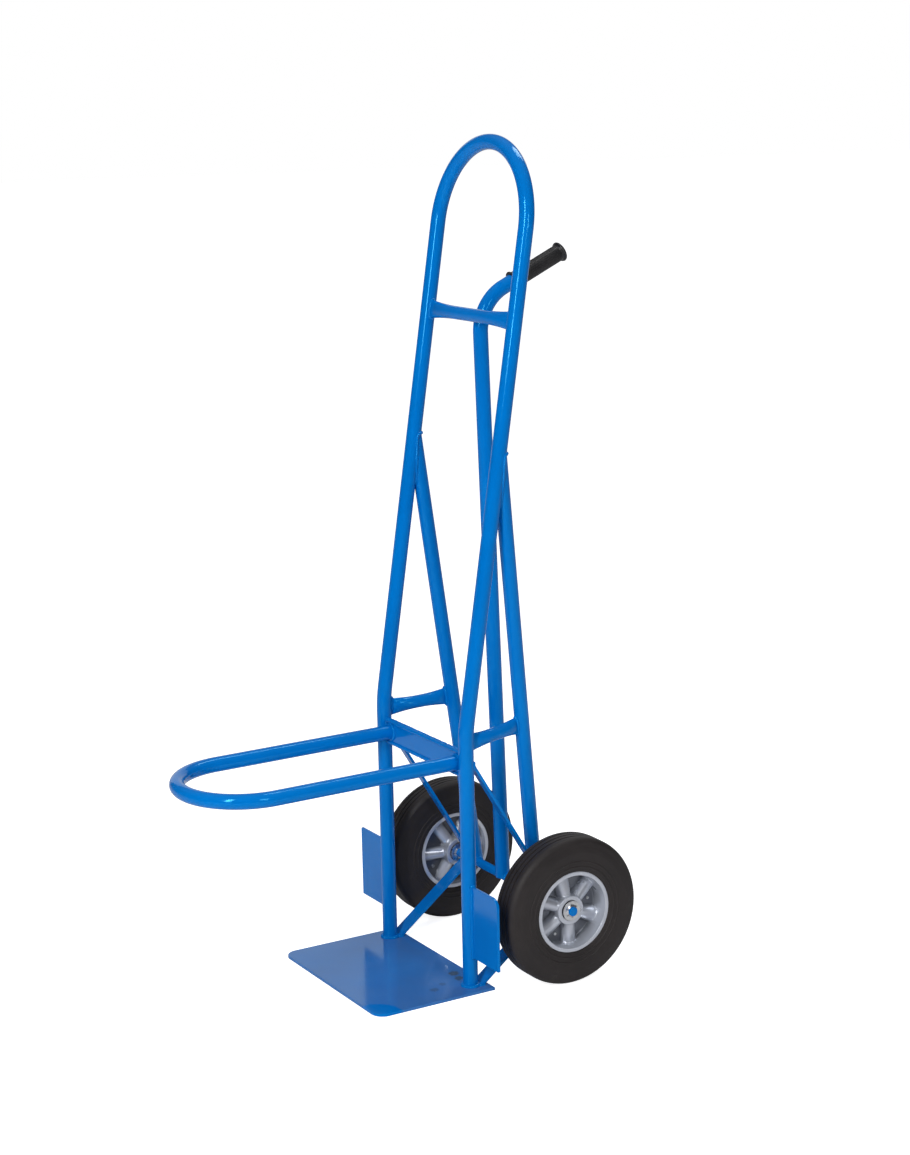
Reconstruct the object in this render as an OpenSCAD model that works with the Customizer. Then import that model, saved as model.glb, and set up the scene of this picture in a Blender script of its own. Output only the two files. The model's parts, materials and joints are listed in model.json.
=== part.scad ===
// Hand truck for stacked chairs: one bent tube forms both front legs and the top arch,
// a U-shaped loop carries the seats, and two wheels turn on ball bearings on a fixed axle.
// Millimetres. Z is up, the floor is z = 0, -Y is the load side and X runs along the axle.
// The origin lies on the underside of the toe plate, below the front legs.

/* [Frame tube] */
// Outer diameter of the main tubes
tube_d = 25.4; // [22:0.1:28]
// Wall thickness of the main tubes
tube_wall = 2; // [1.2:0.1:3]
// Distance from the middle plane to each front leg
leg_x = 135.5; // [125:0.5:145]
// How far behind the origin the legs' feet stand
foot_y = 3.9; // [3:0.1:5]
// Forward tip of the lower legs and the seat loop, in degrees
frame_tip = 0.5; // [0:0.1:1]
// Length of the straight lower legs
lower_len = 418; // [400:1:430]
// Radius of the bend in the front legs
bend_r = 300; // [150:10:330]
// Turn of the bend in the front legs, in degrees
bend_turn = 9.1; // [7:0.1:10]
// Length of the straight upper legs, from the bend to the arch
upper_len = 796.5; // [700:0.5:850]

/* [Seat loop] */
// Height of the seat loop's centre line at the legs
loop_z = 387; // [380:1:390]
// Distance from the legs to the centre of the loop's round end
loop_reach = 335.6; // [250:0.1:400]
// Gap between the loop's tubes and the legs beside them
loop_gap = 0.3; // [0.1:0.1:1]
// Height of the flat crossmember behind the loop
crossmember_h = 38; // [30:1:40]

/* [Flat stock] */
// Thickness of the plates and flat bars
plate_t = 4.8; // [3:0.1:6]
// Half of the toe plate's width
toe_half_w = 166.8; // [155:0.1:180]
// Distance from the legs to the toe plate's front edge
toe_front = 192; // [150:1:220]
// Distance from the legs to the toe plate's rear edge
toe_rear = 32.8; // [30:0.1:40]
// Radius of the toe plate's front corners
toe_corner_r = 22; // [10:1:40]
// Outer edge of the wheel guards
guard_x = 227; // [215:1:230]
// Bottom edge of the wheel guards
guard_z0 = 57.5; // [50:0.5:65]
// Top edge of the wheel guards
guard_z1 = 182; // [170:0.5:190]
// Corner radius at the top of the left guard
left_guard_r = 1.5; // [1:0.5:20]
// Corner radius at the top of the right guard
right_guard_r = 16; // [1:0.5:20]
// Width of the upper braces
upper_brace_w = 15.9; // [12:0.1:19]
// Width of the lower braces
lower_brace_w = 25.4; // [20:0.1:26]
// Height where the upper braces meet the legs
upper_brace_z = 384; // [370:1:395]

/* [Pinched tubes] */
// Diameter of the crossbar and the side spacers
bar_d = 22.2; // [19:0.1:23]
// Height of their flattened ends
bar_end_h = 30.9; // [24:0.1:31]
// Wall thickness of the crossbar and the side spacers
bar_wall = 1.6; // [1:0.1:2]
// Distance of the upper crossbar above the bend, along the legs
crossbar_up = 650; // [600:1:660]
// Height of the side spacers at the legs
spacer_front_z = 424; // [420:1:430]
// Height of the side spacers at the rear struts
spacer_rear_z = 434; // [430:1:445]

/* [Rear struts and handle] */
// Outer diameter of the rear struts
strut_d = 25; // [20:0.1:25.2]
// Distance of the struts' upper ends above the bend, along the legs
strut_up = 439; // [350:1:500]
// Distance from the middle plane to each strut's foot
strut_foot_x = 97; // [60:1:100]
// How far behind the axle's centre each strut's foot stands
strut_foot_back = 2.4; // [0:0.1:3]
// How far in front of the axle's centre the handle tube stands
handle_foot_front = 3.5; // [0:0.1:4]
// Forward lean of the handle tube, in degrees
handle_lean = 2.08; // [2:0.01:2.1]
// Length of the handle tube below its bend
handle_low_len = 950; // [940:1:955]
// Radius of the handle's bend
handle_bend_r = 78; // [74:1:78]
// Turn of the handle's bend, in degrees
handle_turn = 67.1; // [60:0.1:75]
// Length of the handle tube beyond its bend
handle_end_len = 124; // [115:1:135]
// Outer diameter of the grip
grip_d = 28.4; // [27.5:0.1:32]
// Diameter of the grip's two flanges
grip_flange_d = 34.6; // [33:0.1:38]
// Length of the grip
grip_len = 108; // [95:1:112]
// Number of grooves along the grip
grip_grooves = 24; // [12:2:30]

/* [Wheels] */
// Outer radius of the tyre
tyre_r = 127; // [120:1:130]
// Half of the tyre's width
tyre_half_w = 29; // [28:0.5:31]
// Distance from the legs back to the axle
axle_y = 158.6; // [150:0.1:165]
// Diameter of the axle
axle_d = 15.9; // [15.5:0.1:16]
// Half of the axle's length
axle_half = 215.5; // [215:0.1:216]
// Distance from the middle plane to each wheel's middle
wheel_x = 190.4; // [188:0.1:195]
// Radius of the hub's rim flange
rim_r = 70; // [68:0.5:71]
// Half of the rim's width
rim_half_w = 25.7; // [25:0.1:26]
// Number of hollow spokes in each hub
spokes = 6; // [5:1:7]
// Turn of the left wheel at rest, in degrees
left_turn = 63; // [0:1:120]
// Turn of the right wheel at rest, in degrees
right_turn = 98; // [0:1:120]
// Number of balls in each bearing
balls = 8; // [6:1:9]

/* [Hidden] */

$fn = 64;
path_fn = 180;
over = 1;
far = 600;
left = -1;
right = 1;

paint = [0.0, 0.44, 0.79];
zinc = [0.78, 0.79, 0.80];
steel = [0.62, 0.63, 0.65];
hub_grey = [0.52, 0.54, 0.58];
black_rubber = [0.17, 0.16, 0.17];

tube_r = tube_d / 2;
bore_d = tube_d - 2 * tube_wall;
axle_z = tyre_r;
axle_r = axle_d / 2;

// Bends join their straight runs under bands a hair wider than the tube
band_w = 2;
band_proud = 0.05;
joint_gap = 0.2;

// World positions used to aim the rear struts and the side spacers, on the right-hand side
upper_lean = bend_turn - frame_tip;
bend_end_y = foot_y - lower_len * sin(frame_tip) + bend_r * (cos(frame_tip) - cos(upper_lean));
bend_end_z = lower_len * cos(frame_tip) + bend_r * (sin(frame_tip) + sin(upper_lean));
loop_x = leg_x - tube_d - loop_gap;
strut_top = [
    leg_x,
    bend_end_y + strut_up * sin(upper_lean),
    bend_end_z + strut_up * cos(upper_lean)
];
strut_foot = [strut_foot_x, axle_y + strut_foot_back, axle_z];
spacer_share = (strut_top.z - spacer_rear_z) / (strut_top.z - axle_z);
spacer_rear = strut_top + spacer_share * (strut_foot - strut_top);
spacer_front = [leg_x, foot_y - spacer_front_z * sin(frame_tip), spacer_front_z];

// Braces: both pass behind the axle and touch it, so their lines are tangents
brace_offset = axle_r + plate_t / 2;
upper_brace_p = [tube_r, upper_brace_z];
lower_brace_p = [tube_r + 6.4, plate_t];
upper_brace_v = [axle_y, axle_z] - upper_brace_p;
lower_brace_v = [axle_y, axle_z] - lower_brace_p;
upper_brace_a = atan2(upper_brace_v.y, upper_brace_v.x) + asin(brace_offset / norm(upper_brace_v));
lower_brace_a = atan2(lower_brace_v.y, lower_brace_v.x) - asin(brace_offset / norm(lower_brace_v));
brace_run_in = 40;
lower_brace_len = norm(lower_brace_v) + 14;

// Pinched tubes: how far the flattening reaches in from each end
crossbar_flare = 80;
spacer_flare = 48;
ring_count = 16;
ring_sides = 32;

// Wheel, measured along the axle from the rim's middle plane, outwards positive
flange_t = 3;
rim_wall_r = 62;
tyre_seat_r = 66;
web_t = 2.5;
boss_r = 25;
boss_out = 16;
boss_in = 36.7;
hub_bore_r = 11.5;
spoke_r0 = 18;
spoke_r1 = 63;
spoke_small = 9;
spoke_large = 15;
spoke_wall = 2.6;
flank_share = 0.93;
outer_rise = [14.5, 0.5];
inner_rise = [10, -9];
post_r = 3;
post_h = 4;
post_reach = 48;
post_count = 3;
screw_r = 1.2;
screw_head_r = 2.3;
screw_head_t = 1.5;

// Plane where the hub's two halves meet, nearer the wheel's inner face
hub_split = -10;

// Bearing: 35 mm across and 12 mm wide, with balls in round grooves
bearing_r = 17.5;
bearing_w = 12;
bearing_inset = 0.5;
inner_race_r = 10.4;
outer_race_r = 14.6;
ball_r = 3;
ball_pitch_r = 12.5;
ball_clear = 0.05;
outer_bearing_z = boss_out - bearing_inset - bearing_w;
inner_bearing_z = -boss_in + bearing_inset;
race_proud = 2.2;
outer_race_end = boss_out - bearing_inset + race_proud;
inner_race_end = -boss_in + bearing_inset - race_proud;
nut_r = 16.8;
nut_t = 1.2;
nut_dish = 1.8;
nut_flat_r = 11;
nut_slots = 6;

function arc(cx, cy, r, a0, a1, n) =
    [for (i = [0 : n]) let (a = a0 + (a1 - a0) * i / n) [cx + r * cos(a), cy + r * sin(a)]];
function flip(points) = [for (i = [len(points) - 1 : -1 : 0]) [points[i].x, -points[i].y]];

// Straight rod from p to q
module rod(p, q, d) {
    v = q - p;
    translate(p)
        rotate([0, acos(v.z / norm(v)), atan2(v.y, v.x)])
            cylinder(h = norm(v), d = d);
}

// Straight run along Z whose ends stop just short of the bends that it meets
module run(h, d, gap0, gap1) {
    translate([0, 0, gap0])
        cylinder(h = h - gap0 - gap1, d = d);
}

// Band around the point where a bend meets a straight run along Z
module band(d) {
    translate([0, 0, -band_w / 2])
        cylinder(h = band_w, d = d + 2 * band_proud);
}

// Bend that starts upwards from the origin and curves towards +Y
module bend(r, turn, d) {
    band(d);
    translate([0, r, 0])
        rotate([90, 0, -90])
            rotate_extrude(angle = turn, $fn = path_fn)
                translate([r, 0])
                    circle(d = d);
    after_bend(r, turn)
        band(d);
}

// Moves its children to the far end of that bend
module after_bend(r, turn) {
    translate([0, r, 0])
        rotate([-turn, 0, 0])
            translate([0, -r, 0])
                children();
}

// Frame of the lower legs, from the feet upwards
module tipped() {
    translate([0, foot_y, 0])
        rotate([frame_tip, 0, 0])
            children();
}

// Frame of the upper legs, from the end of the bend upwards
module leaning() {
    tipped()
        translate([0, 0, lower_len])
            after_bend(bend_r, bend_turn)
                children();
}

module below_plate_top() {
    translate([-far / 2, -far / 2, plate_t - far])
        cube([far, far, far]);
}

// Front leg with its bend, without the leaning part
module lower_leg(side, d) {
    tipped()
        translate([side * leg_x, 0, 0]) {
            run(lower_len, d, -over, joint_gap);
            translate([0, 0, lower_len])
                bend(bend_r, bend_turn, d);
        }
}

module upper_leg(side, d) {
    leaning()
        translate([side * leg_x, 0, 0])
            run(upper_len, d, joint_gap, joint_gap);
}

module arch(d) {
    leaning()
        translate([0, 0, upper_len]) {
            for (side = [left, right])
                translate([side * leg_x, 0, 0])
                    band(d);
            rotate([90, 0, 0])
                rotate_extrude(angle = 180, $fn = path_fn)
                    translate([leg_x, 0])
                        circle(d = d);
        }
}

module frame_shape(d) {
    for (side = [left, right]) {
        lower_leg(side, d);
        upper_leg(side, d);
    }
    arch(d);
}

module main_frame_tube() {
    color(paint)
        difference() {
            frame_shape(tube_d);
            frame_shape(bore_d);
            below_plate_top();
        }
}

module loop_shape(d, extra) {
    back = -plate_t / 2 + extra;
    for (side = [left, right])
        translate([side * loop_x, back, loop_z])
            rotate([90, 0, 0])
                cylinder(h = loop_reach + back, d = d);
    translate([0, -loop_reach, loop_z])
        rotate([0, 0, 180])
            rotate_extrude(angle = 180, $fn = path_fn)
                translate([loop_x, 0])
                    circle(d = d);
}

module seat_loop() {
    color(paint)
        tipped()
            difference() {
                loop_shape(tube_d, 0);
                loop_shape(bore_d, over);
            }
}

module seat_crossmember() {
    color(paint)
        difference() {
            tipped()
                translate([-leg_x, -plate_t / 2, loop_z - crossmember_h / 2])
                    cube([2 * leg_x, plate_t, crossmember_h]);
            for (side = [left, right])
                lower_leg(side, tube_d);
        }
}

// Half height of a pinched tube at distance e from its end, and the matching half width
function pinch_a(e, flare) =
    bar_d / 2 + (bar_end_h - bar_d) / 2 * pow(max(0, 1 - max(e, 0) / flare), 2);
function pinch_b(a) = sqrt(2 * pow(bar_d / 2, 2) - a * a);

// Surface of a pinched tube along X, from x0 to x1, with its ends at 0 and span
module pinched_shape(x0, x1, span, flare, inset) {
    rings = [for (i = [0 : ring_count]) x0 + (x1 - x0) * i / ring_count];
    points = [
        for (x = rings)
            let (a = pinch_a(min(x, span - x), flare), b = pinch_b(a))
                for (k = [0 : ring_sides - 1])
                    let (t = 360 * k / ring_sides)
                        [x, (b - inset) * cos(t), (a - inset) * sin(t)]
    ];
    sides = [
        for (i = [0 : ring_count - 1])
            for (k = [0 : ring_sides - 1])
                let (n = (k + 1) % ring_sides, lo = i * ring_sides, hi = lo + ring_sides)
                    [lo + k, hi + k, hi + n, lo + n]
    ];
    start_cap = [for (k = [0 : ring_sides - 1]) k];
    end_cap = [for (k = [ring_sides - 1 : -1 : 0]) ring_count * ring_sides + k];
    polyhedron(points, concat(sides, [start_cap, end_cap]));
}

// Pinched tube between the centre lines of two main tubes, from p to q
module pinched_tube(p, q, flare) {
    v = q - p;
    span = norm(v) - 2 * tube_r;
    translate(p)
        rotate([0, -asin(v.z / norm(v)), atan2(v.y, v.x)])
            translate([tube_r, 0, 0])
                difference() {
                    pinched_shape(-tube_r / 2, span + tube_r / 2, span, flare, 0);
                    pinched_shape(-tube_r, span + tube_r, span, flare, bar_wall);
                }
}

module upper_crossbar() {
    color(paint)
        leaning()
            difference() {
                pinched_tube([-leg_x, 0, crossbar_up], [leg_x, 0, crossbar_up], crossbar_flare);
                for (side = [left, right])
                    translate([side * leg_x, 0, crossbar_up - tube_d])
                        cylinder(h = 2 * tube_d, d = tube_d);
            }
}

module side_spacer() {
    difference() {
        pinched_tube(spacer_front, spacer_rear, spacer_flare);
        lower_leg(right, tube_d);
        rod(strut_foot, strut_top, strut_d);
    }
}

module rear_strut() {
    difference() {
        rod(strut_foot, strut_top, strut_d);
        rod(strut_foot - (strut_top - strut_foot) / far, strut_top, strut_d - 2 * tube_wall);
        upper_leg(right, tube_d);
        axle_shape();
    }
}

// Frame of the handle tube, from its foot upwards
module at_handle() {
    translate([0, axle_y - handle_foot_front, axle_z])
        rotate([handle_lean, 0, 0])
            children();
}

// Frame of the handle's rear end, from the end of its bend outwards
module at_handle_end() {
    at_handle()
        translate([0, 0, handle_low_len])
            after_bend(handle_bend_r, handle_turn)
                children();
}

module handle_shape(d, extra) {
    at_handle() {
        run(handle_low_len, d, -extra, joint_gap);
        translate([0, 0, handle_low_len])
            bend(handle_bend_r, handle_turn, d);
    }
    at_handle_end()
        run(handle_end_len, d, joint_gap, -extra);
}

module handle_tube() {
    color(paint)
        difference() {
            handle_shape(tube_d, 0);
            handle_shape(bore_d, over);
            axle_shape();
        }
}

// Outline of the grip, turned about its axis: radius, then distance from its open end
grip_profile = concat(
    [[0, 0], [grip_flange_d / 2 - 2, 0]],
    arc(grip_flange_d / 2 - 2, 2, 2, -90, 90, 8),
    [[grip_d / 2 + 1, 4], [grip_d / 2, 5.5], [grip_d / 2, grip_len - 8]],
    [[grip_d / 2 + 1, grip_len - 6]],
    arc(grip_flange_d / 2 - 3, grip_len - 3, 3, -90, 90, 8),
    [[0, grip_len]]
);

module handle_grip() {
    color(black_rubber)
        at_handle_end()
            translate([0, 0, handle_end_len + 3 - grip_len])
                difference() {
                    rotate_extrude()
                        polygon(grip_profile);
                    translate([0, 0, -over])
                        cylinder(h = grip_len - 3 + over, d = tube_d);
                    for (i = [0 : grip_grooves - 1])
                        rotate([0, 0, 360 * i / grip_grooves])
                            translate([grip_d / 2 + 0.25, 0, 9])
                                cylinder(h = grip_len - 20, r = 0.8, $fn = 16);
                }
}

module toe_plate() {
    straight = toe_front - toe_corner_r;
    color(paint)
        linear_extrude(plate_t)
            union() {
                translate([-toe_half_w, -straight])
                    square([2 * toe_half_w, straight + toe_rear]);
                translate([-toe_half_w + toe_corner_r, -toe_front])
                    square([2 * (toe_half_w - toe_corner_r), toe_front]);
                for (side = [left, right])
                    translate([side * (toe_half_w - toe_corner_r), -straight])
                        circle(r = toe_corner_r);
            }
}

// Wheel guard on the right: a flat plate with one rounded corner at its top outer edge
module wheel_guard(corner_r) {
    height = guard_z1 - guard_z0;
    difference() {
        tipped()
            translate([leg_x, plate_t / 2, guard_z0])
                rotate([90, 0, 0])
                    linear_extrude(plate_t)
                        union() {
                            square([guard_x - leg_x, height - corner_r]);
                            square([guard_x - leg_x - corner_r, height]);
                            translate([guard_x - leg_x - corner_r, height - corner_r])
                                circle(r = corner_r);
                        }
        lower_leg(right, tube_d);
    }
}

// Flat bar in the Y-Z plane through p at angle a, as a box whose run starts before p
module flat_bar(p, a, width, run) {
    translate([leg_x, p.x, p.y])
        rotate([a, 0, 0])
            translate([-width / 2, -brace_run_in, -plate_t / 2])
                cube([width, brace_run_in + run, plate_t]);
}

// Everything on the far side of the lower brace's upper face
module behind_lower_brace() {
    translate([leg_x, lower_brace_p.x, lower_brace_p.y])
        rotate([lower_brace_a, 0, 0])
            translate([-far / 2, -far / 2, plate_t / 2 - far])
                cube([far, far, far]);
}

module upper_brace() {
    difference() {
        flat_bar(upper_brace_p, upper_brace_a, upper_brace_w, norm(upper_brace_v) + far / 10);
        translate([leg_x - far / 2, -far, 0])
            cube([far, far, far]);
        lower_leg(right, tube_d);
        behind_lower_brace();
    }
}

module lower_brace() {
    difference() {
        flat_bar(lower_brace_p, lower_brace_a, lower_brace_w, lower_brace_len);
        translate([leg_x - far / 2, -far, -far / 2])
            cube([far, far, far]);
        lower_leg(right, tube_d);
        below_plate_top();
    }
}

module axle_shape() {
    translate([-axle_half, axle_y, axle_z])
        rotate([0, 90, 0])
            cylinder(h = 2 * axle_half, d = axle_d);
}

module axle() {
    end = 1.2;
    color(paint)
        translate([0, axle_y, axle_z])
            rotate([0, 90, 0])
                rotate_extrude()
                    polygon([
                        [0, -axle_half], [axle_r - end, -axle_half], [axle_r, end - axle_half],
                        [axle_r, axle_half - end], [axle_r - end, axle_half], [0, axle_half]
                    ]);
}

// Places a wheel piece: its +Z points outwards along the axle and its +X points to the rear
module at_wheel(side, turn) {
    translate([side * wheel_x, axle_y, axle_z])
        mirror([side < 0 ? 1 : 0, 0, 0])
            rotate([turn, 0, 0])
                rotate([90, 0, 90])
                    children();
}

// Half of the tyre's outline, from its seat on the rim to the middle of the tread
tyre_half = concat(
    [[tyre_seat_r, rim_half_w - flange_t], [rim_r + 0.2, rim_half_w - flange_t]],
    arc(rim_r + 1.7, rim_half_w - 0.5, 1.5, 180, 90, 4),
    [[77, 27.6], [78, 28.5], [79.5, 28.6], [80.5, 27.9]],
    [[86, 28.3], [87, 29.1], [88.5, 29.1], [89.5, 28.4]],
    arc(98, tyre_half_w - 60, 60, 86, 76, 5),
    arc(114.2, 14.6, 12.8, 62, 8, 8),
    [[tyre_r, 13.2], [tyre_r, 11.4], [tyre_r - 2, 10.9], [tyre_r - 2, 9.1]],
    [[tyre_r, 8.6], [tyre_r, 1.4], [tyre_r - 2, 0.9]]
);

module tyre() {
    color(black_rubber)
        rotate_extrude($fn = 128)
            polygon(concat(flip(tyre_half), tyre_half));
}

// Ring of cones that widen from the boss to the rim while their axes run from height rise[0]
// to rise[1], with upright flanks below them; inset makes them smaller
module spoke_ridges(rise, inset, r0, r1) {
    slope = (spoke_large - spoke_small) / (spoke_r1 - spoke_r0);
    fall = (rise[1] - rise[0]) / (spoke_r1 - spoke_r0);
    w0 = spoke_small + slope * (r0 - spoke_r0) - inset;
    w1 = spoke_small + slope * (r1 - spoke_r0) - inset;
    flank0 = flank_share * w0;
    flank1 = flank_share * w1;
    z0 = rise[0] + fall * (r0 - spoke_r0);
    z1 = rise[0] + fall * (r1 - spoke_r0);
    for (i = [0 : spokes - 1])
        rotate([0, 0, 360 * i / spokes]) {
            translate([r0, 0, z0])
                rotate([0, 90 - atan(fall), 0])
                    cylinder(h = r1 - r0, r1 = w0, r2 = w1);
            intersection() {
                linear_extrude(rim_r)
                    polygon([[r0, -flank0], [r1, -flank1], [r1, flank1], [r0, flank0]]);
                rotate([90, 0, 0])
                    linear_extrude(rim_r, center = true)
                        polygon([
                            [r0 - over, -rim_r], [r1 + over, -rim_r],
                            [r1 + over, z1], [r0 - over, z0]
                        ]);
            }
        }
}

module hub_posts(r, z0, z1) {
    for (i = [0 : post_count - 1])
        rotate([0, 0, 360 * i / post_count + 180 / spokes])
            translate([post_reach, 0, z0])
                cylinder(h = z1 - z0, r = r);
}

// One moulded half of the hub, for z above 0: rim, web, hollow spokes, boss and screw posts
module hub_half(rise, edge, boss_len) {
    hole_depth = bearing_w + bearing_inset;
    color(hub_grey)
        difference() {
            union() {
                difference() {
                    union() {
                        cylinder(h = web_t, r = rim_wall_r + 1);
                        spoke_ridges(rise, 0, spoke_r0, spoke_r1);
                    }
                    spoke_ridges(rise, spoke_wall, boss_r + 1.5, rim_wall_r - 1);
                }
                rotate_extrude($fn = 96)
                    polygon([
                        [rim_wall_r, 0], [tyre_seat_r, 0], [tyre_seat_r, edge - flange_t],
                        [rim_r, edge - flange_t], [rim_r, edge - 0.8],
                        [rim_r - 0.8, edge], [rim_wall_r + 2, edge],
                        [rim_wall_r + 1, edge - 1], [rim_wall_r + 1, edge - 4],
                        [rim_wall_r, edge - 6]
                    ]);
                cylinder(h = boss_len, r = boss_r);
                hub_posts(post_r, 0, post_h);
            }
            translate([0, 0, -over])
                cylinder(h = boss_len + 2 * over, r = hub_bore_r);
            translate([0, 0, boss_len - hole_depth])
                cylinder(h = hole_depth + over, r = bearing_r);
            hub_posts(screw_r, -over, post_h + over);
            translate([0, 0, -far])
                cylinder(h = far, r = far / 2);
        }
}

module hub_outer_half() {
    translate([0, 0, hub_split])
        hub_half(outer_rise, rim_half_w - hub_split, boss_out - hub_split);
}

module hub_inner_half() {
    translate([0, 0, hub_split])
        mirror([0, 0, 1])
            hub_half(inner_rise, rim_half_w + hub_split, boss_in + hub_split);
}

module hub_screws() {
    color(zinc)
        translate([0, 0, hub_split]) {
            hub_posts(screw_r, -post_h, post_h);
            hub_posts(screw_head_r, post_h, post_h + screw_head_t);
        }
}

module ball_groove() {
    rotate_extrude($fn = 96)
        translate([ball_pitch_r, 0])
            circle(r = ball_r + ball_clear, $fn = 48);
}

module race(r_in, r_out, z, width) {
    difference() {
        translate([0, 0, z])
            cylinder(h = width, r = r_out);
        translate([0, 0, z - over])
            cylinder(h = width + 2 * over, r = r_in);
        translate([0, 0, z + width / 2])
            ball_groove();
    }
}

module bearing_outer_races() {
    color(steel)
        for (z = [outer_bearing_z, inner_bearing_z])
            race(outer_race_r, bearing_r, z, bearing_w);
}

module bearing_inner_races() {
    color(steel)
        for (z = [outer_bearing_z, inner_bearing_z])
            race(axle_r, inner_race_r, z - race_proud, bearing_w + 2 * race_proud);
}

module bearing_balls() {
    color(steel)
        for (z = [outer_bearing_z, inner_bearing_z])
            for (i = [0 : balls - 1])
                rotate([0, 0, 360 * i / balls])
                    translate([ball_pitch_r, 0, z + bearing_w / 2])
                        sphere(r = ball_r, $fn = 32);
}

module bearing_spacer() {
    low = inner_bearing_z + bearing_w + race_proud;
    high = outer_bearing_z - race_proud;
    color(steel)
        difference() {
            translate([0, 0, low])
                cylinder(h = high - low, r = axle_r + 2.4);
            translate([0, 0, low - over])
                cylinder(h = high - low + 2 * over, r = axle_r);
        }
}

// Push nut on z = 0: a flat ring whose middle is dished up and slotted to grip the axle
module push_nut() {
    color(zinc)
        difference() {
            rotate_extrude()
                polygon([
                    [axle_r, nut_dish], [nut_flat_r, 0], [nut_r, 0], [nut_r, nut_t],
                    [nut_flat_r, nut_t], [axle_r, nut_dish + nut_t]
                ]);
            for (i = [0 : nut_slots - 1])
                rotate([0, 0, 360 * i / nut_slots])
                    translate([axle_r / 2, -0.6, -over])
                        cube([nut_flat_r + 1.5 - axle_r / 2, 1.2, nut_dish + nut_t + 2 * over]);
        }
}

module outer_push_nut() {
    translate([0, 0, outer_race_end])
        push_nut();
}

module inner_push_nut() {
    translate([0, 0, inner_race_end])
        mirror([0, 0, 1])
            push_nut();
}

// Mirrors a right-hand piece to the left
module on_side(side) {
    color(paint)
        mirror([side < 0 ? 1 : 0, 0, 0])
            children();
}

main_frame_tube();
seat_loop();
seat_crossmember();
upper_crossbar();
on_side(left) side_spacer();  // left_side_spacer
on_side(right) side_spacer();  // right_side_spacer
on_side(left) rear_strut();  // left_rear_strut
on_side(right) rear_strut();  // right_rear_strut
handle_tube();
handle_grip();
toe_plate();
on_side(left) wheel_guard(left_guard_r);  // left_wheel_guard
on_side(right) wheel_guard(right_guard_r);  // right_wheel_guard
on_side(left) upper_brace();  // left_upper_brace
on_side(right) upper_brace();  // right_upper_brace
on_side(left) lower_brace();  // left_lower_brace
on_side(right) lower_brace();  // right_lower_brace
axle();
at_wheel(left, left_turn) bearing_spacer();  // left_bearing_spacer
at_wheel(right, right_turn) bearing_spacer();  // right_bearing_spacer
at_wheel(left, left_turn) bearing_inner_races();  // left_bearing_inner_races
at_wheel(right, right_turn) bearing_inner_races();  // right_bearing_inner_races
at_wheel(left, left_turn) outer_push_nut();  // left_outer_push_nut
at_wheel(right, right_turn) outer_push_nut();  // right_outer_push_nut
at_wheel(left, left_turn) inner_push_nut();  // left_inner_push_nut
at_wheel(right, right_turn) inner_push_nut();  // right_inner_push_nut
at_wheel(left, left_turn) tyre();  // left_tyre
at_wheel(right, right_turn) tyre();  // right_tyre
at_wheel(left, left_turn) hub_outer_half();  // left_hub_outer_half
at_wheel(right, right_turn) hub_outer_half();  // right_hub_outer_half
at_wheel(left, left_turn) hub_inner_half();  // left_hub_inner_half
at_wheel(right, right_turn) hub_inner_half();  // right_hub_inner_half
at_wheel(left, left_turn) hub_screws();  // left_hub_screws
at_wheel(right, right_turn) hub_screws();  // right_hub_screws
at_wheel(left, left_turn) bearing_outer_races();  // left_bearing_outer_races
at_wheel(right, right_turn) bearing_outer_races();  // right_bearing_outer_races
at_wheel(left, left_turn) bearing_balls();  // left_bearing_balls
at_wheel(right, right_turn) bearing_balls();  // right_bearing_balls
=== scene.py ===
import json
import math

import bmesh
import bpy
from mathutils import Matrix, Vector, noise
from mathutils.bvhtree import BVHTree


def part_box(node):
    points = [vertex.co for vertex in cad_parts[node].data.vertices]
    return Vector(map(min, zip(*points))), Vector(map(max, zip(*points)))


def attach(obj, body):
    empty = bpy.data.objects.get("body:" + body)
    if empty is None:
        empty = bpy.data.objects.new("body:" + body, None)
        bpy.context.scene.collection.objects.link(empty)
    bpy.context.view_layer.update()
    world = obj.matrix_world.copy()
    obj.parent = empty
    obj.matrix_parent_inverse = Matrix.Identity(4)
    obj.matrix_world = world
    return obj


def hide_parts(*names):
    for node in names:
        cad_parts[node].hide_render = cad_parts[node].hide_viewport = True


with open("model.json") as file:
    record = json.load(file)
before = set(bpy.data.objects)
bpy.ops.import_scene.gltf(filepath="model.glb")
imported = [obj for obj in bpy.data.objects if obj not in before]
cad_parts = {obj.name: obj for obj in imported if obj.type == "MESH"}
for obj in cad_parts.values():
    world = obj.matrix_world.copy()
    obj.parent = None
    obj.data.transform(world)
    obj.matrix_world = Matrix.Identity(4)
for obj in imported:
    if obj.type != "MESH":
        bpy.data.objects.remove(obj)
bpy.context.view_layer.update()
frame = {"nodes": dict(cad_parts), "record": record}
scene = bpy.context.scene
nodes = frame["nodes"]
SIDES = {"left": -1, "right": 1}


# ---------------------------------------------------------------- camera and studio

# Where the camera stands, in metres, and how it is turned, in degrees: azimuth, elevation and roll
CAMERA_PLACE, CAMERA_TURN, CAMERA_LENS = (3.2695, -1.9085, 1.4951), (58.88, 12.18, -0.736), 72.69


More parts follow.
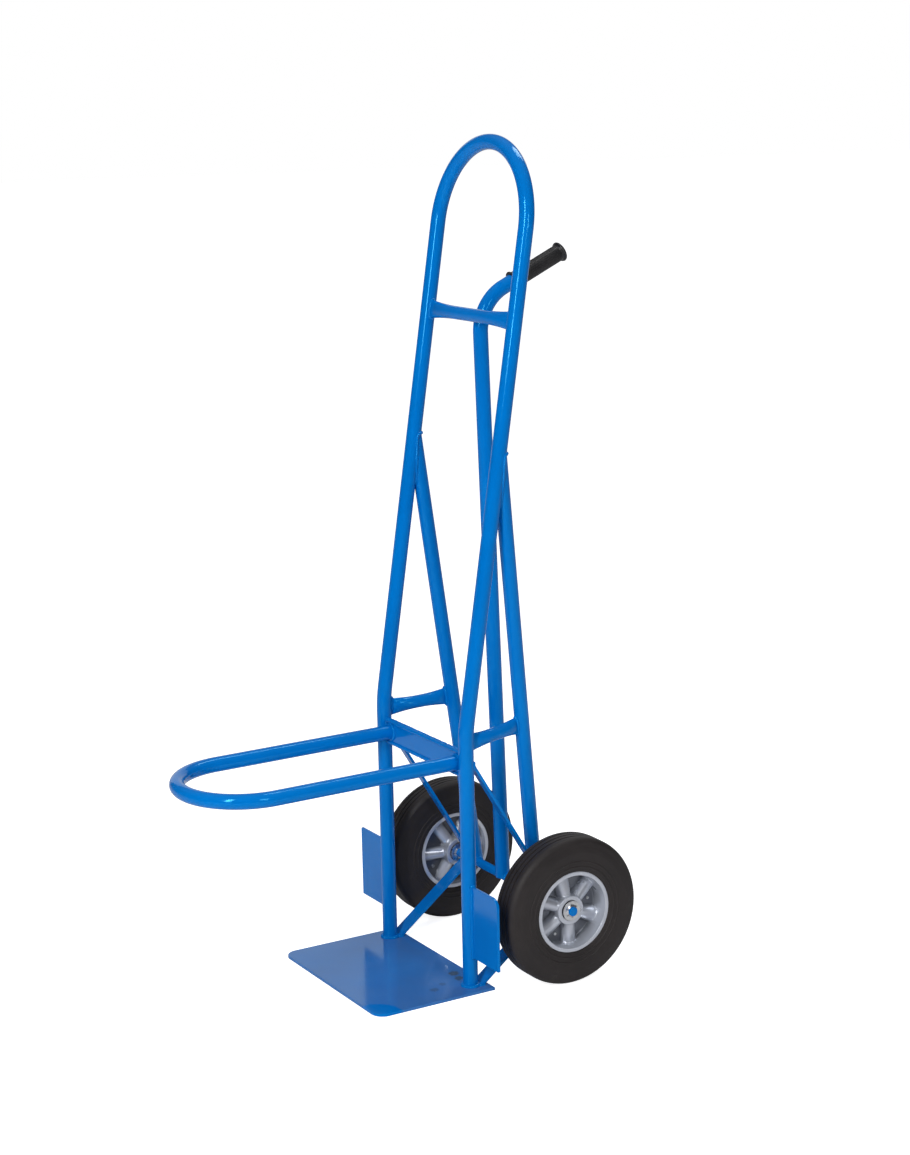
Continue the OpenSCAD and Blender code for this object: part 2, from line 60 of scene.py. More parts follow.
def set_camera():
    azimuth, elevation, roll = (math.radians(a) for a in CAMERA_TURN)
    back = Vector((math.sin(azimuth) * math.cos(elevation),
                   -math.cos(azimuth) * math.cos(elevation), math.sin(elevation)))
    level = Vector((math.cos(azimuth), math.sin(azimuth), 0))
    above = back.cross(level)
    right = level * math.cos(roll) + above * math.sin(roll)
    up = back.cross(right)
    data = bpy.data.cameras.new("camera")
    data.sensor_width = 36
    data.lens = CAMERA_LENS
    data.clip_start = 0.05
    data.clip_end = 60
    camera = bpy.data.objects.new("camera", data)
    turn = Matrix((right, up, back)).transposed().to_4x4()
    camera.matrix_world = Matrix.Translation(CAMERA_PLACE) @ turn
    scene.collection.objects.link(camera)
    scene.camera = camera


def area_light(name, place, target, size, power):
    data = bpy.data.lights.new(name, "AREA")
    data.shape = "RECTANGLE"
    data.size, data.size_y = size
    data.energy = power
    lamp = bpy.data.objects.new(name, data)
    lamp.location = place
    lamp.rotation_euler = (Vector(target) - Vector(place)).to_track_quat("-Z", "Y").to_euler()
    scene.collection.objects.link(lamp)


def sky(tree, height, stops):
    """A background whose brightness rises with the height of the direction."""
    ramp = tree.nodes.new("ShaderNodeValToRGB")
    while len(ramp.color_ramp.elements) < len(stops):
        ramp.color_ramp.elements.new(0.5)
    for element, (place, colour) in zip(ramp.color_ramp.elements, stops):
        element.position = place
        element.color = (*colour, 1)
    background = tree.nodes.new("ShaderNodeBackground")
    tree.links.new(height, ramp.inputs["Fac"])
    tree.links.new(ramp.outputs["Color"], background.inputs["Color"])
    return background.outputs[0]


def set_world():
    """White behind the object, a soft room for its shading and a darker one in its gloss."""
    world = bpy.data.worlds.new("studio")
    world.use_nodes = True
    tree = world.node_tree
    tree.nodes.clear()
    path = tree.nodes.new("ShaderNodeLightPath")
    coords = tree.nodes.new("ShaderNodeTexCoord")
    split = tree.nodes.new("ShaderNodeSeparateXYZ")
    tree.links.new(coords.outputs["Generated"], split.inputs[0])
    height = split.outputs["Z"]
    shade = sky(tree, height, ((0.0, (0.12, 0.125, 0.135)), (0.8, (0.36, 0.36, 0.37))))
    gloss = sky(tree, height, ((0.0, (0.03, 0.032, 0.036)), (0.45, (0.06, 0.062, 0.066)),
                               (0.95, (0.40, 0.40, 0.41))))
    white = tree.nodes.new("ShaderNodeBackground")
    white.inputs["Color"].default_value = (1, 1, 1, 1)
    for ray, over in (("Is Glossy Ray", gloss), ("Is Camera Ray", white.outputs[0])):
        mix = tree.nodes.new("ShaderNodeMixShader")
        tree.links.new(path.outputs[ray], mix.inputs[0])
        tree.links.new(shade, mix.inputs[1])
        tree.links.new(over, mix.inputs[2])
        shade = mix.outputs[0]
    out = tree.nodes.new("ShaderNodeOutputWorld")
    tree.links.new(shade, out.inputs["Surface"])
    scene.world = world


def add_plane(name, size, place=(0, 0, 0), facing=(0, 0, 1)):
    bm = bmesh.new()
    bmesh.ops.create_grid(bm, x_segments=1, y_segments=1, size=0.5)
    bmesh.ops.scale(bm, vec=(size[0], size[1], 1), verts=bm.verts)
    mesh = bpy.data.meshes.new(name)
    bm.to_mesh(mesh)
    bm.free()
    plane = bpy.data.objects.new(name, mesh)
    plane.location = place
    plane.rotation_euler = Vector(facing).to_track_quat("Z", "Y").to_euler()
    scene.collection.objects.link(plane)
    return plane


def make_floor():
    """A white floor, with a little glow that only the camera sees, so it stays pale far away."""
    floor = add_plane("floor", (60, 60))
    material, n = new_material("floor_paper", (0.87, 0.87, 0.88), 0.8)
    n.inputs("Specular IOR Level", 0.1)
    path = n.add("LightPath")
    n.inputs("Emission Color", (1, 1, 1, 1))
    glow = n.math("MULTIPLY", path.outputs["Is Camera Ray"], 0.86)
    n.link(glow, n.shader.inputs["Emission Strength"])
    floor.data.materials.append(material)


def studio_card(name, size, place, facing, glow):
    """A card that shows only in the gloss of the paint, as a studio's grey walls do."""
    card = add_plane(name, size, place, facing)
    material, n = new_material(name, (0, 0, 0), 1.0)
    n.inputs("Emission Color", (0.93, 0.96, 1.0, 1))
    n.inputs("Emission Strength", glow)
    card.data.materials.append(material)
    card.visible_camera = False
    card.visible_shadow = False
    card.visible_diffuse = False


# ---------------------------------------------------------------- materials

class Nodes:
    """A material's node tree, with short calls for the nodes used here."""

    def __init__(self, material):
        self.tree = material.node_tree
        self.shader = self.tree.nodes["Principled BSDF"]
        self.coords = None

    def inputs(self, name, value):
        self.shader.inputs[name].default_value = value

    def add(self, kind, **settings):
        node = self.tree.nodes.new("ShaderNode" + kind)
        for name, value in settings.items():
            setattr(node, name, value)
        return node

    def link(self, source, target):
        self.tree.links.new(source, target)

    def place(self, scale=(1, 1, 1), shift=(0, 0, 0)):
        if self.coords is None:
            self.coords = self.add("TexCoord")
        mapping = self.add("Mapping")
        mapping.inputs["Scale"].default_value = scale
        mapping.inputs["Location"].default_value = shift
        self.link(self.coords.outputs["Object"], mapping.inputs["Vector"])
        return mapping.outputs["Vector"]

    def noise(self, scale, detail=3, rough=0.5, stretch=(1, 1, 1), shift=(0, 0, 0)):
        node = self.add("TexNoise")
        node.inputs["Scale"].default_value = scale
        node.inputs["Detail"].default_value = detail
        node.inputs["Roughness"].default_value = rough
        self.link(self.place(stretch, shift), node.inputs["Vector"])
        return node.outputs["Fac"]

    def spread(self, value, low, high, to_low=0.0, to_high=1.0):
        node = self.add("MapRange")
        for name, number in (("From Min", low), ("From Max", high),
                             ("To Min", to_low), ("To Max", to_high)):
            node.inputs[name].default_value = number
        self.link(value, node.inputs["Value"])
        return node.outputs["Result"]

    def math(self, operation, a, b):
        node = self.add("Math", operation=operation)
        for k, value in enumerate((a, b)):
            if isinstance(value, (int, float)):
                node.inputs[k].default_value = value
            else:
                self.link(value, node.inputs[k])
        return node.outputs[0]

    def mix(self, factor, a, b):
        node = self.add("Mix", data_type="RGBA")
        self.link(factor, node.inputs["Factor"])
        for name, value in (("A", a), ("B", b)):
            socket = [s for s in node.inputs if s.name == name and s.type == "RGBA"][0]
            if isinstance(value, tuple):
                socket.default_value = (*value, 1)
            else:
                self.link(value, socket)
        return [s for s in node.outputs if s.type == "RGBA"][0]

    def bump(self, height, distance, strength=1.0, after=None):
        node = self.add("Bump")
        node.inputs["Distance"].default_value = distance
        node.inputs["Strength"].default_value = strength
        self.link(height, node.inputs["Height"])
        if after is not None:
            self.link(after, node.inputs["Normal"])
        return node.outputs["Normal"]

    def near(self, point, radius):
        """1 at a point, in metres, falling to 0 at the radius around it."""
        away = self.add("VectorMath", operation="DISTANCE")
        self.link(self.place(), away.inputs[0])
        away.inputs[1].default_value = point
        return self.spread(away.outputs["Value"], radius, 0.0)

    def colour(self, source):
        self.link(source, self.shader.inputs["Base Color"])

    def roughness(self, source):
        self.link(source, self.shader.inputs["Roughness"])

    def normal(self, source):
        self.link(source, self.shader.inputs["Normal"])


def new_material(name, colour, roughness, metallic=0.0):
    material = bpy.data.materials.new(name)
    material.use_nodes = True
    n = Nodes(material)
    n.inputs("Base Color", (*colour, 1))
    n.inputs("Roughness", roughness)
    n.inputs("Metallic", metallic)
    return material, n


def blue_paint(name, plate=False):
    """Sprayed gloss enamel: a little orange peel, uneven thickness and faint handling marks."""
    material, n = new_material(name, (0.0, 0.18, 0.61), 0.06)
    cloud = n.noise(7.0, 4, 0.55)
    fine = n.noise(60.0, 3, 0.6, shift=(3, 1, 2))
    tone = n.spread(cloud, 0.3, 0.7)
    colour = n.mix(tone, (0.0, 0.158, 0.55), (0.0, 0.185, 0.615))
    streaks = n.noise(9.0, 5, 0.7, stretch=(14, 14, 1.2), shift=(0.4, 0, 0))
    scuffs = n.spread(streaks, 0.66, 0.74)
    colour = n.mix(n.math("MULTIPLY", scuffs, 0.2), colour, (0.03, 0.19, 0.5))
    rough = n.spread(cloud, 0.3, 0.7, 0.095, 0.125)
    rough = n.math("ADD", rough, n.math("MULTIPLY", scuffs, 0.12))
    n.inputs("IOR", 1.5)
    n.inputs("Specular Tint", (0.12, 0.75, 1.0, 1))
    if plate:
        colour, rough = plate_marks(n, colour, rough)
    n.colour(colour)
    n.roughness(rough)
    peel = n.noise(420.0, 2, 0.5, shift=(7, 3, 5))
    wave = n.bump(n.noise(26.0, 2, 0.4), 0.0002, 0.04)
    n.normal(n.bump(n.math("ADD", n.math("MULTIPLY", fine, 0.3), peel), 0.00002, 0.07, wave))
    return material


def plate_marks(n, colour, rough):
    """Oily spots near the right foot, and a thin grey veil of dust and painted reflection that
    leaves the front right corner free.
    """
    grain = n.noise(85.0, 5, 0.65, shift=(2, 2, 0))
    spots = (((0.076, 0.008, 0.005), 0.018, 0.8), ((0.099, 0.003, 0.005), 0.016, 0.75),
             ((0.108, -0.034, 0.005), 0.012, 0.75), ((0.121, -0.058, 0.005), 0.014, 0.8))
    for k, (place, radius, strength) in enumerate(spots):
        mask = n.spread(n.math("ADD", n.near(place, radius), grain), 0.86, 1.12)
        mask = n.math("MULTIPLY", mask, strength)
        colour = n.mix(mask, colour, (0.012, 0.05, 0.07) if k < 2 else (0.0, 0.11, 0.33))
        rough = n.math("ADD", rough, n.math("MULTIPLY", mask, 0.15))
    wide = n.noise(13.0, 6, 0.6, stretch=(1, 2.2, 1), shift=(1, 5, 0))
    rough = n.math("ADD", rough, n.spread(wide, 0.45, 0.75, 0.0, 0.08))
    # Dust and painted reflection: a patchy grey veil over the plate's blue, kept off the front
    # right corner
    dust_and_reflection = n.spread(n.noise(5.0, 5, 0.65, shift=(2, 0, 4)), 0.3, 0.7, 0.17, 0.27)
    corner = n.near((0.160, -0.190, 0.005), 0.075)
    veil_reach = n.spread(n.math("ADD", corner, n.math("MULTIPLY", grain, 0.1)), 0.42, 0.5, 1.0, 0.0)
    colour = n.mix(n.math("MULTIPLY", dust_and_reflection, veil_reach), colour, (0.21, 0.20, 0.19))
    return colour, rough


def tyre_rubber(name, side):
    """Solid black rubber with a warm bloom, patches of road dust and a fine grain."""
    material, n = new_material(name, (0.03, 0.027, 0.026), 0.6)
    cloud = n.noise(16.0, 5, 0.6, shift=(side, 0, 0))
    grain = n.noise(700.0, 2, 0.5)
    colour = n.mix(n.spread(cloud, 0.35, 0.7), (0.0165, 0.0132, 0.0132), (0.0265, 0.0215, 0.0210))
    dust_and_reflection = n.spread(n.noise(34.0, 6, 0.72, shift=(0, side * 3, 1)), 0.62, 0.8)
    colour = n.mix(n.math("MULTIPLY", dust_and_reflection, 0.35), colour, (0.085, 0.075, 0.066))
    n.colour(colour)
    n.roughness(n.spread(cloud, 0.3, 0.7, 0.5, 0.66))
    n.inputs("Specular IOR Level", 0.38)
    low = n.bump(n.noise(45.0, 3, 0.5), 0.0004, 0.3)
    n.normal(n.bump(grain, 0.00008, 0.6, low))
    return material


def hub_plastic(name):
    """Moulded plastic in silver-grey paint, with faint flow marks and painted shade on the pocket
    floors.
    """
    material, n = new_material(name, (0.56, 0.59, 0.65), 0.29, 0.55)
    flow = n.noise(14.0, 3, 0.5)
    colour = n.mix(n.spread(flow, 0.3, 0.7), (0.53, 0.56, 0.625), (0.60, 0.625, 0.68))
    grime = n.spread(n.noise(90.0, 5, 0.7, shift=(4, 0, 2)), 0.62, 0.8)
    colour = n.mix(n.math("MULTIPLY", grime, 0.12), colour, (0.16, 0.16, 0.17))
    # Painted shade: the mesh's cavity attribute darkens the floors between the spokes, where
    # shadow falls
    cavity_shade = n.add("Attribute", attribute_name="cavity_shade")
    painted_pocket_shade = n.math("MULTIPLY", cavity_shade.outputs["Fac"], n.spread(flow, 0.2, 0.8, 0.94, 1.0))
    colour = n.mix(painted_pocket_shade, colour, (0.050, 0.055, 0.068))
    n.colour(colour)
    n.roughness(n.spread(flow, 0.3, 0.7, 0.27, 0.33))
    n.normal(n.bump(n.noise(900.0, 2, 0.5), 0.00003, 0.4))
    return material


def grip_vinyl(name):
    material, n = new_material(name, (0.012, 0.012, 0.013), 0.42)
    cloud = n.noise(40.0, 4, 0.6)
    n.colour(n.mix(n.spread(cloud, 0.35, 0.7), (0.009, 0.009, 0.010), (0.020, 0.019, 0.019)))
    n.roughness(n.spread(cloud, 0.3, 0.7, 0.34, 0.52))
    n.normal(n.bump(n.noise(1500.0, 2, 0.5), 0.00005, 0.5))
    return material


def metal(name, colour, rough, turn=(1, 1, 1)):
    """Zinc plate or ground steel, brushed along the direction that turn stretches least."""
    material, n = new_material(name, colour, rough, 1.0)
    lines = n.noise(160.0, 4, 0.6, stretch=turn)
    spangle = n.noise(55.0, 3, 0.6, shift=(1, 1, 1))
    dark = tuple(c * 0.72 for c in colour)
    n.colour(n.mix(n.spread(spangle, 0.4, 0.75), colour, dark))
    n.roughness(n.spread(lines, 0.3, 0.7, rough - 0.08, rough + 0.1))
    n.normal(n.bump(lines, 0.00005, 0.4))
    return material


# ---------------------------------------------------------------- geometry helpers

def add_object(name, bm, material):
    mesh = bpy.data.meshes.new(name)
    bm.to_mesh(mesh)
    bm.free()
    for polygon in mesh.polygons:
        polygon.use_smooth = True
    mesh.materials.append(material)
    piece = bpy.data.objects.new(name, mesh)
    scene.collection.objects.link(piece)
    return piece


def clean_mesh(node):
    """A bmesh copy of a CAD node with its doubled vertices joined."""
    bm = bmesh.new()
    bm.from_mesh(nodes[node].data)
    bmesh.ops.remove_doubles(bm, verts=bm.verts, dist=2e-6)
    return bm


def eased(node, body, material, width=0.0007, segments=3):
    """A copy of a flat-sided CAD node with its sharp edges rounded, shown instead of the node."""
    bm = clean_mesh(node)
    bmesh.ops.dissolve_limit(bm, angle_limit=math.radians(0.6), verts=bm.verts, edges=bm.edges)
    sharp = [e for e in bm.edges if e.is_manifold and e.calc_face_angle() > math.radians(28)]
    bmesh.ops.bevel(bm, geom=sharp, offset=width, offset_type="OFFSET", segments=segments,
                    profile=0.5, affect="EDGES", clamp_overlap=True)
    piece = add_object(node + "_eased", bm, material)
    weight = piece.modifiers.new("normals", "WEIGHTED_NORMAL")
    weight.keep_sharp = False
    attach(piece, body)
    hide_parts(node)


def swept_tube(node, material, path, radius, bore, sides=64):
    """A smooth bent tube along the CAD centre line, shown instead of the node."""
    bm = bmesh.new()
    along_y = abs((path[1] - path[0]).normalized().y) >= 0.9
    across = Vector((0, 0, 1)) if along_y else Vector((0, 1, 0))
    turns = [2 * math.pi * i / sides for i in range(sides)]
    loops = []
    for k, p in enumerate(path):
        along = (path[min(k + 1, len(path) - 1)] - path[max(k - 1, 0)]).normalized()
        across = (across - along * across.dot(along)).normalized()
        beside = along.cross(across)
        loops.append([[bm.verts.new(p + (across * math.cos(a) + beside * math.sin(a)) * r)
                       for a in turns] for r in (radius, bore)])
    rings = [pair[0] for pair in loops] + [pair[1] for pair in reversed(loops)]
    for a, b in zip(rings, rings[1:] + rings[:1]):
        for i in range(sides):
            bm.faces.new((a[i], a[(i + 1) % sides], b[(i + 1) % sides], b[i]))
    bmesh.ops.recalc_face_normals(bm, faces=bm.faces)
    piece = add_object(node + "_drawn", bm, material)
    piece.data.set_sharp_from_angle(angle=math.radians(40))
    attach(piece, "frame")
    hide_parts(node)


def bent(points, start, turn, radius, steps):
    """Adds a bend towards +Y in the Y-Z plane, from start and heading along +Z."""
    for k in range(steps + 1):
        a = math.radians(turn) * k / steps
        points.append(start + Vector((0, radius * (1 - math.cos(a)), radius * math.sin(a))))
    return points[-1], Vector((0, math.sin(a), math.cos(a)))


TUBE_R, TUBE_BORE_R = 0.0127, 0.0107


def tube_paths():
    """Centre lines of the three bent tubes in millimetres, as the CAD builds them."""
    leg_x, leg_foot, leg_knee, leg_turn, knee_r, upper_leg = 135.5, 4.7, 418, 9.1, 300, 796.5
    loop_x, loop_z, loop_start, reach = 109.8, 387.0, -2.4, 335.6
    neck, neck_turn, neck_r, grip_run = 950, 67.1, 78, 124
    foot_y, tip_turn = 3.9, 0.5
    handle_y, axle_z, lean_turn = 158.6 - 3.5, 127, 2.08
    half_turn = [math.pi * k / 96 for k in range(97)]
    leg = [Vector((leg_x, 0, leg_foot))]
    end, heading = bent(leg, Vector((leg_x, 0, leg_knee)), leg_turn, knee_r, 12)
    crown = end + heading * upper_leg
    leg.append(end + heading * 400)
    arch = [Vector((leg_x * math.cos(a), crown.y, crown.z)) + heading * leg_x * math.sin(a)
            for a in half_turn]
    frame_path = leg + arch + [Vector((-p.x, p.y, p.z)) for p in reversed(leg)]
    loop = [Vector((loop_x * math.cos(a), -reach - loop_x * math.sin(a), loop_z))
            for a in half_turn]
    loop = [Vector((loop_x, loop_start, loop_z))] + loop + [Vector((-loop_x, loop_start, loop_z))]
    handle = [Vector((0, 0, 0)), Vector((0, 0, neck / 2))]
    end, heading = bent(handle, Vector((0, 0, neck)), neck_turn, neck_r, 40)
    handle.append(end + heading * grip_run)
    tip = Matrix.Translation((0, foot_y, 0)) @ Matrix.Rotation(math.radians(tip_turn), 4, "X")
    lean = (Matrix.Translation((0, handle_y, axle_z))
            @ Matrix.Rotation(math.radians(lean_turn), 4, "X"))
    scale = Matrix.Scale(0.001, 4)
    return {"main_frame_tube": [scale @ (tip @ p) for p in frame_path],
            "seat_loop": [scale @ (tip @ p) for p in loop],
            "handle_tube": [scale @ (lean @ p) for p in handle]}


def seams(node, other, reach=0.0006, shortest=0.008):
    """Sharp outlines of a CAD node that lie on another node: where the two would be welded."""
    bm = clean_mesh(node)
    tree = BVHTree.FromBMesh(clean_mesh(other))
    close = {v for v in bm.verts if tree.find_nearest(v.co, reach)[0] is not None}
    links = {}
    for e in bm.edges:
        a, b = e.verts
        if a in close and b in close and e.is_manifold and e.calc_face_angle() > math.radians(25):
            links.setdefault(a, set()).add(b)
            links.setdefault(b, set()).add(a)
    lines = []
    while links:
        ends = [v for v in links if len(links[v]) == 1]
        v = ends[0] if ends else next(iter(links))
        line = [v]
        while links.get(v):
            # The lowest neighbour first, so that every run walks a seam the same way
            w = min(links[v], key=lambda u: tuple(u.co))
            links[v].remove(w)
            links[w].discard(v)
            if not links[v]:
                del links[v]
            line.append(w)
            v = w
        links.pop(v, None)
        points = [Vector(p.co) for p in line]
        length = sum((q - p).length for p, q in zip(points, points[1:]))
        if length > shortest:
            lines.append((length, points))
    bm.free()
    lines.sort(key=lambda item: -item[0])
    return lines


def outer_seams(node, other, apart=0.03):
    """The longest seam in each place, so a tube's outer rim is kept and its bore's rim is not."""
    kept = []
    for _, points in seams(node, other):
        middle = sum(points, Vector()) / len(points)
        if all((middle - m).length > apart for m, _ in kept):
            kept.append((middle, points))
    return [points for _, points in kept]


def resample(points, step):
    out = [points[0].copy()]
    left = step
    for p, q in zip(points, points[1:]):
        span = (q - p).length
        while span > left > 0:
            p = p.lerp(q, left / span)
            out.append(p.copy())
            span = (q - p).length
            left = step
        left -= span
    return out


def bead_mesh(bm, points, radius, seed, sides=12, step=0.0004, ripple=0.0019):
    """A weld bead: overlapping round ripples along a line."""
    closed = (points[0] - points[-1]).length < 0.002
    line = resample(points, step)
    if len(line) < 6:
        return
    count = len(line)
    rings = []
    for i, p in enumerate(line):
        before = line[i - 1] if i or closed else line[0]
        after = line[(i + 1) % count] if i < count - 1 or closed else line[-1]
        along = (after - before).normalized()
        if rings:
            across = (last - along * last.dot(along)).normalized()
        else:
            across = along.orthogonal().normalized()
        last = across
        up = along.cross(across)
        s = i * step
        wobble = noise.noise(Vector((s * 260, seed * 7.3, 0.5)))
        phase = (s / ripple + 0.35 * wobble) % 1.0
        swell = 0.84 + 0.2 * math.sqrt(max(0.0, 1 - (2 * phase - 1) ** 2)) + 0.10 * wobble
        tail = 1.0
        if not closed:
            edge = min(i, count - 1 - i) * step
            tail = min(1.0, math.sqrt(edge / (1.2 * radius)) + 0.05)
        r = radius * swell * tail
        shift = (across * noise.noise(Vector((s * 190, seed, 3.1)))
                 + up * noise.noise(Vector((s * 190, seed, 9.7)))) * radius * 0.16
        rings.append([bm.verts.new(p + shift + (across * math.cos(a) + up * math.sin(a)) * r)
                      for a in (2 * math.pi * k / sides for k in range(sides))])
    pairs = list(zip(rings, rings[1:])) + ([(rings[-1], rings[0])] if closed else [])
    for a, b in pairs[:-1] if closed else pairs:
        for k in range(sides):
            bm.faces.new((a[k], a[(k + 1) % sides], b[(k + 1) % sides], b[k]))
    if closed:
        a, b = pairs[-1]
        turn = min(range(sides), key=lambda t: (a[0].co - b[t].co).length)
        for k in range(sides):
            m = (k + 1) % sides
            bm.faces.new((a[k], a[m], b[(m + turn) % sides], b[(k + turn) % sides]))
    else:
        bm.faces.new(list(reversed(rings[0])))
        bm.faces.new(rings[-1])


def weld(name, lines, radius, material, seed):
    bm = bmesh.new()
    for k, points in enumerate(lines):
        bead_mesh(bm, points, radius, seed + 3.7 * k)
    if not bm.faces:
        bm.free()
        print("no seam for", name)
        return
    bmesh.ops.recalc_face_normals(bm, faces=bm.faces)
    piece = add_object(name, bm, material)
    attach(piece, "frame")


# ---------------------------------------------------------------- hubs

# Sizes of the moulded hub in millimetres, measured from the plane where its halves meet
SPLIT, WALL_R, SEAT_R, RIM_R, BOSS_R = -10.0, 62.0, 66.0, 70.0, 25.0
WEB, FILLET, BORE_R, BEARING_R, POCKET = 2.5, 3.0, 11.5, 17.5, 12.5
SPOKES, POSTS, POST_REACH, POST_R, POST_H = 6, 3, 48.0, 3.0, 4.0
# The gap behind each half, the rim lip's thickness, and the flare inside it: width, foot and top
BACK, LIP, FLARE_W, FLARE_FOOT, FLARE_TOP = 0.05, 3, 1, 6, 4
SPOKE_START, SPOKE_LENGTH, SPOKE_R, SPOKE_GROWTH = 18, 45, 9, 6
KNEE_SHARE, FLANK_SLOPE = 0.985, 5.7
WEB_BLEND, POST_BLEND, POST_SLOPE = 3.2, 0.8, 3
EDGE = {"outer": 25.7 - SPLIT, "inner": 25.7 + SPLIT}
BOSS = {"outer": 16.0 - SPLIT, "inner": 36.7 + SPLIT}
RISE = {"outer": (14.5, 0.5), "inner": (10.0, -9.0)}
TURN = {"left": 63.0, "right": 98.0}
# How dark the painted shade on the floors between the spokes is, and how it fades with the height
# above the web
PAINTED_SHADE = {"outer": 0.82, "inner": 1.0}
SHELTER_REACH, SHELTER_FADE = 7, 1.5


def smooth_max(a, b, blend):
    overlap = max(blend - abs(a - b), 0.0) / blend
    return max(a, b) + overlap * overlap * blend / 4


def spoke_height(r, angle, rise):
    """Height of the nearest spoke: a round top on drafted flanks that widens towards the rim."""
    pitch = 2 * math.pi / SPOKES
    angle = (angle + pitch / 2) % pitch - pitch / 2
    share = (r * math.cos(angle) - SPOKE_START) / SPOKE_LENGTH
    width = SPOKE_R + SPOKE_GROWTH * share
    y = abs(r * math.sin(angle))
    knee = KNEE_SHARE * width
    top = math.sqrt(width ** 2 - min(y, knee) ** 2)
    return rise[0] + (rise[1] - rise[0]) * share + top - FLANK_SLOPE * max(y - knee, 0.0)


def dish_height(r, angle, rise):
    height = smooth_max(WEB, spoke_height(r, angle, rise), WEB_BLEND)
    pitch = 2 * math.pi / POSTS
    turn = (angle - math.pi / SPOKES + pitch / 2) % pitch - pitch / 2
    away = math.hypot(r * math.cos(turn) - POST_REACH, r * math.sin(turn))
    height = smooth_max(height, POST_H - POST_SLOPE * max(away - POST_R, 0.0), POST_BLEND)
    for reach in (r - BOSS_R, WALL_R - r):
        lift = max(FILLET - reach, 0.0)
        height += FILLET - math.sqrt(FILLET ** 2 - lift ** 2)
    return height


def rounded(corner, start, end, radius, steps=4):
    """Points around a right-angled corner, from the side of start to the side of end."""
    corner, start, end = Vector(corner), Vector(start).normalized(), Vector(end).normalized()
    centre = corner + (start + end) * radius
    return [tuple(centre - end * radius * math.cos(a) - start * radius * math.sin(a))
            for a in (math.pi / 2 * k / steps for k in range(steps + 1))]


def hub_face(side, half, material, turns=540, rings=56):
    """One half of a hub, with its spokes blended into the web, the boss and the rim."""
    edge, boss = EDGE[half], BOSS[half]
    profile = [(SEAT_R, BACK), (BORE_R, BACK), (BORE_R, boss - POCKET), (BEARING_R, boss - POCKET)]
    profile += rounded((BEARING_R, boss), (0, -1), (1, 0), 0.6)
    profile += rounded((BOSS_R, boss), (-1, 0), (0, -1), 1.2)
    profile += [(BOSS_R + (WALL_R - BOSS_R) * k / rings, None) for k in range(rings + 1)]
    profile += [(WALL_R, edge - FLARE_FOOT), (WALL_R + FLARE_W, edge - FLARE_TOP)]
    profile += rounded((WALL_R + FLARE_W, edge), (0, -1), (1, 0), 0.9)
    profile += rounded((RIM_R, edge), (-1, 0), (0, -1), 1.0)
    profile += [(RIM_R, edge - LIP), (SEAT_R, edge - LIP)]
    low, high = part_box("axle")
    centre = Vector((0, (low[1] + high[1]) / 2, (low[2] + high[2]) / 2))
    low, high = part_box(side + "_tyre")
    middle = abs(low[0] + high[0]) / 2
    outwards = 1 if half == "outer" else -1
    bm = bmesh.new()
    loops, shade_amounts = [], []
    for k in range(turns):
        angle = 2 * math.pi * k / turns
        loop = []
        for r, z in profile:
            height = dish_height(r, angle, RISE[half]) if z is None else z
            # Painted shade for the floors between the spokes, strongest at the web and gone a few
            # millimetres above it
            shelter = max(1 - max(height - WEB, 0) / SHELTER_REACH, 0) ** SHELTER_FADE
            shade_amounts.append(PAINTED_SHADE[half] * shelter if z is None else 0.0)
            z = SPLIT + outwards * height
            at = angle + math.radians(TURN[side])
            loop.append(bm.verts.new((SIDES[side] * (middle + z / 1000),
                                      centre.y + r / 1000 * math.cos(at),
                                      centre.z + r / 1000 * math.sin(at))))
        loops.append(loop)
    for a, b in zip(loops, loops[1:] + loops[:1]):
        for k in range(len(profile)):
            n = (k + 1) % len(profile)
            bm.faces.new((a[k], a[n], b[n], b[k]))
    bmesh.ops.recalc_face_normals(bm, faces=bm.faces)
    node = side + "_hub_" + half + "_half"
    piece = add_object(node + "_moulding", bm, material)
    piece.data.attributes.new("cavity_shade", "FLOAT", "POINT").data.foreach_set("value", shade_amounts)
    piece.data.set_sharp_from_angle(angle=math.radians(42))
    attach(piece, side + "_wheel")
    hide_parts(node)


# ---------------------------------------------------------------- making

set_camera()
set_world()
make_floor()
area_light("overhead", (-0.45, 1.25, 3.2), (0, -0.1, 0.5), (0.6, 1.7), 20)
area_light("key", (1.75, -2.7, 2.3), (0, 0, 0.75), (0.5, 2.1), 78)
area_light("fill", (3.5, -0.2, 1.9), (0, 0, 0.5), (0.7, 1.0), 20)
studio_card("backdrop", (8.0, 3.8), (-4.8, 2.9, 2.0), (0.856, -0.517, 0), 0.75)

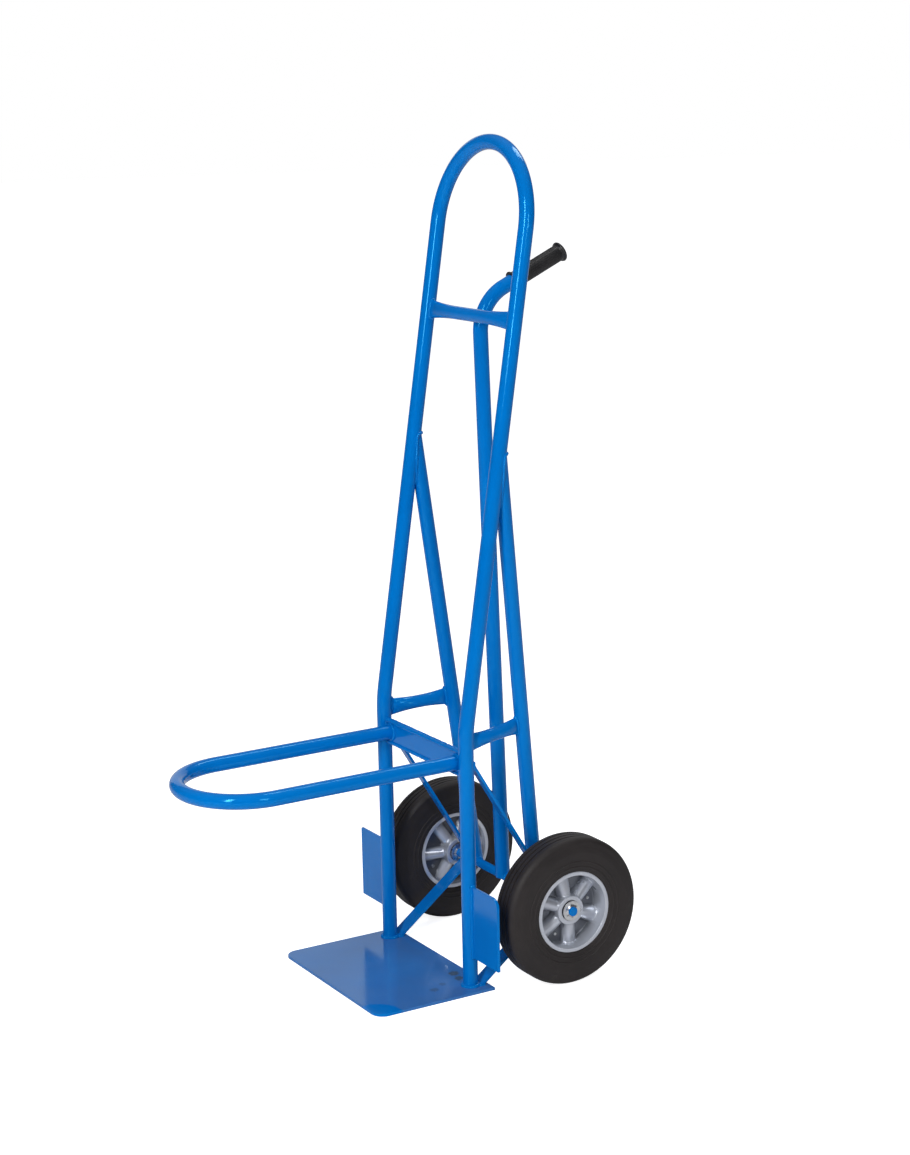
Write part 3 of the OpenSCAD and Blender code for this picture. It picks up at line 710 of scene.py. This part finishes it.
tube_paint = blue_paint("tube_paint")
plate_paint = blue_paint("plate_paint", plate=True)
weld_paint = blue_paint("weld_paint")
vinyl = grip_vinyl("grip_vinyl")
zinc = metal("zinc_plate", (0.66, 0.67, 0.68), 0.3, (1, 3, 1))
steel = metal("ground_steel", (0.56, 0.56, 0.57), 0.24, (4, 1, 1))
plastic = hub_plastic("hub_plastic")

paints = {"blue_paint_tubes": tube_paint, "blue_paint_plates": plate_paint,
          "blue_paint_axle": tube_paint, "grip_vinyl": vinyl, "zinc": zinc,
          "bearing_steel": steel, "hub_plastic": plastic}
tyres = {side: tyre_rubber(side + "_tyre_rubber", x) for side, x in SIDES.items()}
for part in frame["record"]["subparts"]:
    node, slot = part["node"], part["material_slot"]
    paint = tyres[node.split("_")[0]] if slot == "tyre_rubber" else paints[slot]
    mesh = nodes[node].data
    mesh.materials.clear()
    mesh.materials.append(paint)

flat_parts = ["toe_plate", "seat_crossmember"] + [
    side + "_" + part for side in SIDES for part in ("wheel_guard", "upper_brace", "lower_brace")]
for node in flat_parts:
    slot = "blue_paint_tubes" if node == "seat_crossmember" else "blue_paint_plates"
    eased(node, "frame", plate_paint if node == "toe_plate" else tube_paint)

for side in SIDES:
    for half in EDGE:
        hub_face(side, half, plastic)
for node, path in tube_paths().items():
    swept_tube(node, tube_paint, path, TUBE_R, TUBE_BORE_R)

welds = [("main_frame_tube", "toe_plate", 0.0042), ("seat_crossmember", "main_frame_tube", 0.0032),
         ("seat_loop", "seat_crossmember", 0.0034), ("upper_crossbar", "main_frame_tube", 0.0034)]
for side in SIDES:
    welds += [(side + "_side_spacer", "main_frame_tube", 0.0031),
              (side + "_side_spacer", side + "_rear_strut", 0.0031),
              (side + "_rear_strut", "main_frame_tube", 0.0028),
              (side + "_rear_strut", "axle", 0.0028),
              (side + "_wheel_guard", "main_frame_tube", 0.0028),
              (side + "_upper_brace", "main_frame_tube", 0.0026),
              (side + "_upper_brace", side + "_lower_brace", 0.0022),
              (side + "_lower_brace", "main_frame_tube", 0.0026),
              (side + "_lower_brace", "toe_plate", 0.0026)]
welds.append(("handle_tube", "axle", 0.0028))
for k, (node, other, radius) in enumerate(welds):
    weld("weld_" + node + "_to_" + other, outer_seams(node, other), radius, weld_paint, 11.3 * k)

scene.view_settings.view_transform = "Standard"
